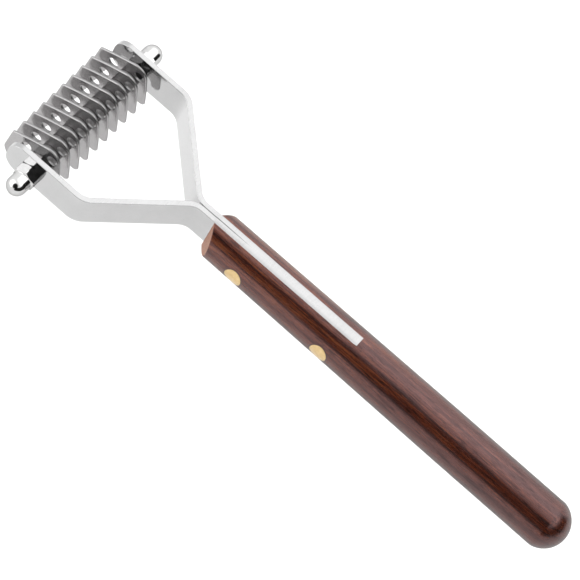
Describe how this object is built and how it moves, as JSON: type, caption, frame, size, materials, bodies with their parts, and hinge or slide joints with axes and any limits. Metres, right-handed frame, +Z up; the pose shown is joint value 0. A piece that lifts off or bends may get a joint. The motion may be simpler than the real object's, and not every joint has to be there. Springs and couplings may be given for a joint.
{
  "type": "deshedding tool",
  "caption": "Grooming rake for stripping loose undercoat: hooked steel blades on an axle between the bent arms of a fork, riveted into a slotted round wooden handle.",
  "frame": {"origin": "on the handle's axis, in the middle of its straight round grip near the tail", "axes": "+X along the blade axle, +Y along the handle from the tail to the blades, +Z up, away from the tips of the blades"},
  "size_m": [0.07, 0.1999, 0.0195],
  "materials": {
    "handle_wood": "satin varnished dark reddish brown hardwood",
    "fork_steel": "polished flat steel strip with ground edges",
    "blade_steel": "polished stainless steel with ground edges",
    "spacer_steel": "plain turned steel",
    "axle_steel": "plain threaded steel rod",
    "nut_plating": "bright nickel plate",
    "rivet_brass": "turned flush, fine rings"
  },
  "bodies": {
    "handle_and_fork": {"handle": "handle_wood", "left_fork_arm": "fork_steel", "right_fork_arm": "fork_steel", "front_rivet": "rivet_brass", "rear_rivet": "rivet_brass"},
    "blade_head": {"axle_rod": "axle_steel", "blade_1": "blade_steel", "blade_2": "blade_steel", "blade_3": "blade_steel", "blade_4": "blade_steel", "blade_5": "blade_steel", "blade_6": "blade_steel", "blade_7": "blade_steel", "blade_8": "blade_steel", "blade_9": "blade_steel", "blade_10": "blade_steel", "spacer_1": "spacer_steel", "spacer_2": "spacer_steel", "spacer_3": "spacer_steel", "spacer_4": "spacer_steel", "spacer_5": "spacer_steel", "spacer_6": "spacer_steel", "spacer_7": "spacer_steel", "spacer_8": "spacer_steel", "spacer_9": "spacer_steel"},
    "left_lock_nut": {"left_lock_nut": "nut_plating"},
    "right_lock_nut": {"right_lock_nut": "nut_plating"},
    "left_cap_nut": {"left_cap_nut": "nut_plating"},
    "right_cap_nut": {"right_cap_nut": "nut_plating"}
  },
  "joints": [
    {"name": "blade_head_turn", "type": "hinge", "parent": "handle_and_fork", "child": "blade_head", "pos_m": [0, 0.16166, 0], "axis": [1, 0, 0], "continuous": true},
    {"name": "left_lock_nut_spin", "type": "hinge", "parent": "blade_head", "child": "left_lock_nut", "pos_m": [0, 0.16166, 0], "axis": [1, 0, 0], "continuous": true},
    {"name": "right_lock_nut_spin", "type": "hinge", "parent": "blade_head", "child": "right_lock_nut", "pos_m": [0, 0.16166, 0], "axis": [1, 0, 0], "continuous": true},
    {"name": "left_cap_nut_spin", "type": "hinge", "parent": "blade_head", "child": "left_cap_nut", "pos_m": [0, 0.16166, 0], "axis": [1, 0, 0], "continuous": true},
    {"name": "right_cap_nut_spin", "type": "hinge", "parent": "blade_head", "child": "right_cap_nut", "pos_m": [0, 0.16166, 0], "axis": [1, 0, 0], "continuous": true}
  ]
}
